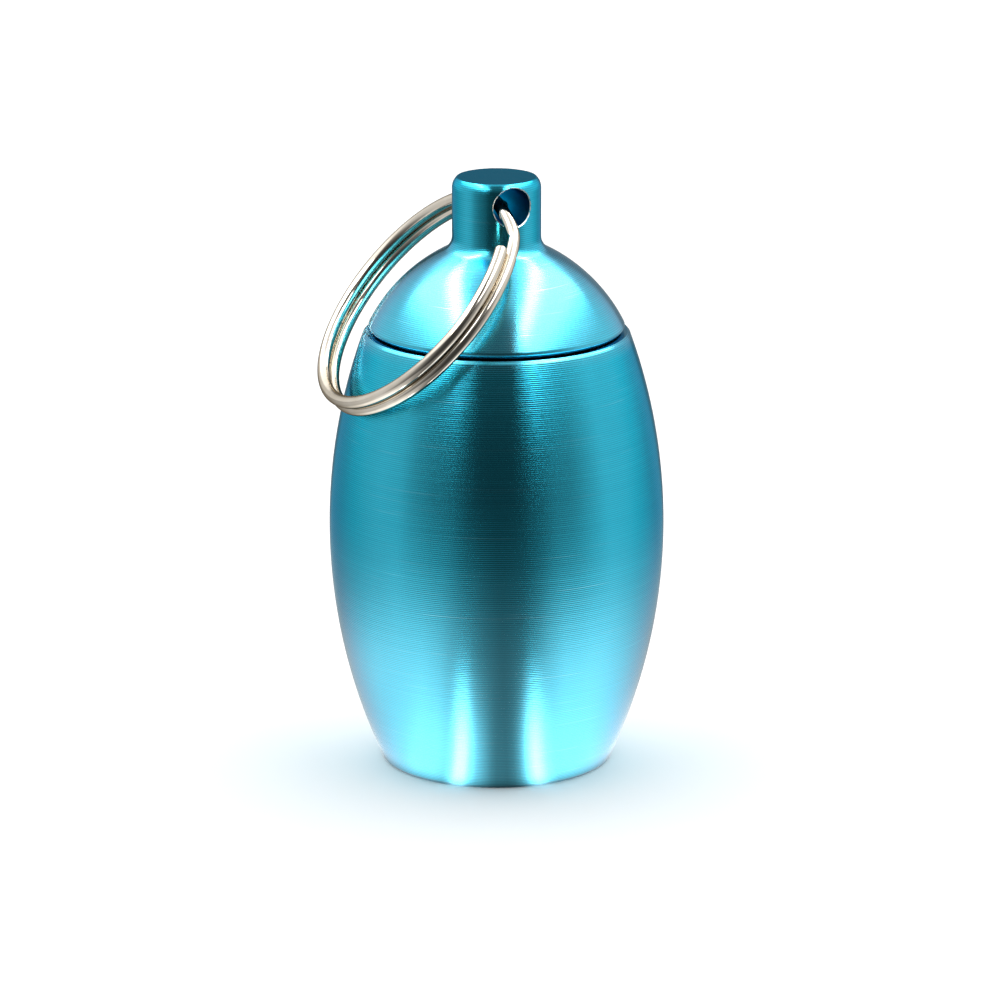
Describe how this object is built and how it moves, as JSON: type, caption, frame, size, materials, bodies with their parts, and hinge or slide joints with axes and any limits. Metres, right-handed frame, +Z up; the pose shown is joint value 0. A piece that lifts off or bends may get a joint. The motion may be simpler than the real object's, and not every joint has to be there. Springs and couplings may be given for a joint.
{
  "type": "earplug case",
  "caption": "Barrel-shaped turned aluminium case for earplugs, with a domed screw cap on a rubber seal ring and a split ring through the cap's cross-drilled knob.",
  "frame": {"origin": "middle of the flat base", "axes": "+Z up along the turning axis, -Y towards the front, where the ring's near side crosses the dome; the knob's hole runs level, 22.5 degrees from -Y towards +X"},
  "size_m": [0.0258, 0.025, 0.0446],
  "materials": {
    "anodised_aluminium": "turquoise anodised over fine turning lines, satin gloss",
    "black_rubber": "smooth moulded nitrile rubber",
    "nickel_plated_wire": "bright nickel plate on round steel wire"
  },
  "bodies": {
    "canister": {"canister": "anodised_aluminium"},
    "seal": {"seal_ring": "black_rubber"},
    "cap": {"screw_cap": "anodised_aluminium"},
    "ring": {"split_ring": "nickel_plated_wire"}
  },
  "joints": [
    {"name": "cap_lift", "type": "slide", "parent": "canister", "child": "seal", "axis": [0, 0, 1], "range_m": [0, 0.006]},
    {"name": "cap_turn", "type": "hinge", "parent": "seal", "child": "cap", "pos_m": [0, 0, 0.03305], "axis": [0, 0, 1], "range_deg": [0, 2160]},
    {"name": "ring_swing", "type": "hinge", "parent": "cap", "child": "ring", "pos_m": [0, 0, 0.04287], "axis": [-0.3827, 0.9239, 0], "range_deg": [0, 277.6]}
  ],
  "couplings": [
    {"joint": "cap_lift", "follows": "cap_turn", "m_per_rad": 0.00015915}
  ]
}
